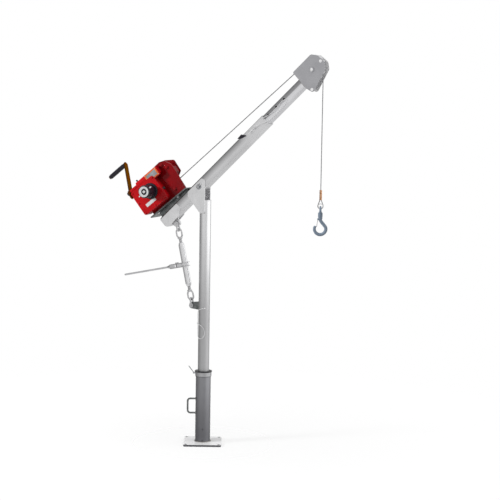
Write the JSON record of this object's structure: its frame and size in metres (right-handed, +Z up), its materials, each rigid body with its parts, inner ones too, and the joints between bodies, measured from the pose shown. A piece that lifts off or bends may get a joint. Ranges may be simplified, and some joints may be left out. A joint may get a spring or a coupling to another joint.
{
  "type": "davit crane",
  "caption": "Bolt-down stainless davit crane: slewing mast, telescoping boom luffed by a ratchet jack, red worm winch with hand crank, wire rope and swivel hook.",
  "frame": {"origin": "centre of the base plate's underside, on the mast's axis", "axes": "+Z up along the mast, +X along the boom's horizontal reach, boom plane at Y = 0"},
  "size_m": [1.6631, 0.3828, 2.624],
  "materials": {
    "stainless_tube": "brushed stainless tube",
    "stainless_plate": "bead-blasted stainless plate",
    "bright_steel": "polished stainless",
    "red_paint": "gloss red enamel",
    "gold_zinc": "yellow passivated zinc",
    "black_plastic": "black moulding",
    "nylon": "dark nylon",
    "chrome": "chromed",
    "bronze": "cast bronze",
    "machined_steel": "machined steel",
    "wire_rope": "galvanised wire rope",
    "lanyard_wire": "coated wire",
    "copper": "copper ferrule",
    "hook_paint": "blue-grey forged steel"
  },
  "bodies": {
    "pedestal": {"base_plate": "stainless_plate", "pedestal_tube": "stainless_tube", "pedestal_collar": "stainless_plate", "carry_handle": "stainless_plate", "upper_bush": "nylon", "lower_bearing_cup": "nylon"},
    "slew_lock": {"slew_lock_screw": "bright_steel"},
    "mast": {"mast_tube": "stainless_tube", "mast_cap": "stainless_plate", "head_cheeks": "stainless_plate", "pivot_pin": "bright_steel", "pivot_pin_clip": "bright_steel", "jack_lug": "stainless_plate", "mast_lanyard": "lanyard_wire"},
    "boom": {"boom_outer_tube": "stainless_tube", "tail_plates": "stainless_plate", "winch_brackets": "stainless_plate", "winch_mount_plate": "stainless_plate", "winch_bolts": "bright_steel", "gear_case": "red_paint", "gear_case_cover": "red_paint", "far_side_frame": "red_paint", "drum_shroud": "red_paint", "tie_rods": "bright_steel", "lanyard_tab": "stainless_plate", "pin_lanyard": "lanyard_wire", "rope_run": "wire_rope"},
    "boom_inner": {"boom_inner_tube": "stainless_tube", "head_plates": "stainless_plate", "sheave_axle": "bright_steel", "keeper_pins": "bright_steel"},
    "sheave": {"sheave": "machined_steel", "sheave_bush": "bronze"},
    "fall": {"rope_over_sheave": "wire_rope", "rope_fall": "wire_rope"},
    "hook_block": {"swage_sleeve": "copper", "thimble": "bright_steel", "rope_eye": "wire_rope", "swivel_eye": "hook_paint"},
    "hook": {"hook": "hook_paint"},
    "latch": {"hook_latch": "hook_paint"},
    "drum": {"drum": "machined_steel", "drum_shaft": "bright_steel", "worm_wheel": "bronze", "rope_winding": "wire_rope"},
    "crank": {"worm_shaft": "machined_steel", "crank_arm": "gold_zinc"},
    "grip": {"crank_grip": "black_plastic"},
    "clutch": {"clutch_knob": "black_plastic", "clutch_cap": "chrome"},
    "extension_pin": {"extension_pin": "bright_steel"},
    "jack_lower": {"lower_shackle": "bright_steel", "lower_shackle_pin": "bright_steel", "jack_lower_screw": "bright_steel"},
    "jack_barrel": {"jack_barrel": "bright_steel"},
    "ratchet": {"ratchet_handle": "bright_steel"},
    "pawl": {"ratchet_pawl": "bright_steel"},
    "jack_upper": {"jack_upper_screw": "bright_steel"},
    "upper_shackle": {"upper_shackle": "bright_steel", "upper_shackle_pin": "bright_steel"}
  },
  "joints": [
    {"name": "slew_lock_turn", "type": "hinge", "parent": "pedestal", "child": "slew_lock", "pos_m": [0, 0, 0.482], "axis": [-0.9135, -0.4067, 0], "range_deg": [0, 90]},
    {"name": "mast_slew", "type": "hinge", "parent": "pedestal", "child": "mast", "pos_m": [0, 0, 0], "axis": [0, 0, 1], "continuous": true},
    {"name": "boom_luff", "type": "hinge", "parent": "mast", "child": "boom", "pos_m": [-0.03, 0, 1.744], "axis": [0, -1, 0], "range_deg": [-25, 0], "deforming": ["rope_over_sheave"]},
    {"name": "boom_extend", "type": "slide", "parent": "boom", "child": "boom_inner", "axis": [0.7193, 0, 0.6947], "range_m": [-0.3, 0.15], "deforming": ["rope_run"]},
    {"name": "sheave_spin", "type": "hinge", "parent": "boom_inner", "child": "sheave", "pos_m": [0.75666, 0, 2.5273], "axis": [0, -1, 0], "range_deg": [-780, 390]},
    {"name": "fall_swing", "type": "hinge", "parent": "boom_inner", "child": "fall", "pos_m": [0.75666, 0, 2.5273], "axis": [0, -1, 0], "range_deg": [0, 25]},
    {"name": "hoist", "type": "slide", "parent": "fall", "child": "hook_block", "axis": [0, 0, 1], "range_m": [-0.9, 0.45], "deforming": ["rope_fall"]},
    {"name": "hook_swivel", "type": "hinge", "parent": "hook_block", "child": "hook", "pos_m": [0.82266, 0, 1.5779], "axis": [0, 0, 1], "continuous": true},
    {"name": "latch_swing", "type": "hinge", "parent": "hook", "child": "latch", "pos_m": [0.80895, -0.0061, 1.5659], "axis": [0.4067, -0.9135, 0], "range_deg": [0, 27], "stiffness_Nm_per_rad": 0.02, "springref_deg": -28.65},
    {"name": "crank_turn", "type": "hinge", "parent": "boom", "child": "crank", "pos_m": [-0.25766, -0.084, 1.89838], "axis": [0.7771, 0, 0.6293], "range_deg": [-15300, 7650]},
    {"name": "drum_turn", "type": "hinge", "parent": "boom", "child": "drum", "pos_m": [-0.35256, 0, 1.70572], "axis": [0, 1, 0], "range_deg": [-1276, 638.5], "deforming": ["rope_winding"]},
    {"name": "grip_spin", "type": "hinge", "parent": "crank", "child": "grip", "pos_m": [-0.40228, 0.10884, 2.07698], "axis": [0.7771, 0, 0.6293], "continuous": true},
    {"name": "clutch_pull", "type": "slide", "parent": "drum", "child": "clutch", "axis": [0, -1, 0], "range_m": [0, 0.01]},
    {"name": "extension_pin_pull", "type": "slide", "parent": "boom", "child": "extension_pin", "axis": [0, -1, 0], "range_m": [0, 0.1], "deforming": ["pin_lanyard"]},
    {"name": "jack_swing", "type": "hinge", "parent": "mast", "child": "jack_lower", "pos_m": [-0.088, 0, 0.938], "axis": [0, -1, 0], "range_deg": [-0.1, 6.53]},
    {"name": "jack_lower_run", "type": "slide", "parent": "jack_lower", "child": "jack_barrel", "axis": [-0.2125, 0, 0.9772], "range_m": [-0.0005, 0.06495]},
    {"name": "jack_upper_run", "type": "slide", "parent": "jack_barrel", "child": "jack_upper", "axis": [-0.2125, 0, 0.9772], "range_m": [-0.0005, 0.06495]},
    {"name": "upper_shackle_swing", "type": "hinge", "parent": "boom", "child": "upper_shackle", "pos_m": [-0.20707, 0, 1.48542], "axis": [0, -1, 0], "range_deg": [-0.1, 31.52]},
    {"name": "ratchet_swing", "type": "hinge", "parent": "jack_barrel", "child": "ratchet", "pos_m": [-0.14754, 0, 1.21171], "axis": [-0.2125, 0, 0.9772], "range_deg": [-55, 55]},
    {"name": "pawl_turn", "type": "hinge", "parent": "ratchet", "child": "pawl", "pos_m": [-0.20421, 0, 1.19938], "axis": [-0.2125, 0, 0.9772], "range_deg": [-10, 10]}
  ],
  "couplings": [
    {"joint": "drum_turn", "follows": "crank_turn", "ratio": 0.083333},
    {"joint": "hoist", "follows": "crank_turn", "m_per_rad": 0.0033583},
    {"joint": "sheave_spin", "follows": "crank_turn", "ratio": 0.050884},
    {"joint": "fall_swing", "follows": "boom_luff", "ratio": -1},
    {"joint": "jack_swing", "follows": "boom_luff", "ratio": -0.257},
    {"joint": "jack_lower_run", "follows": "boom_luff", "m_per_rad": -0.14771},
    {"joint": "jack_upper_run", "follows": "boom_luff", "m_per_rad": -0.14771},
    {"joint": "upper_shackle_swing", "follows": "boom_luff", "ratio": -1.257}
  ]
}
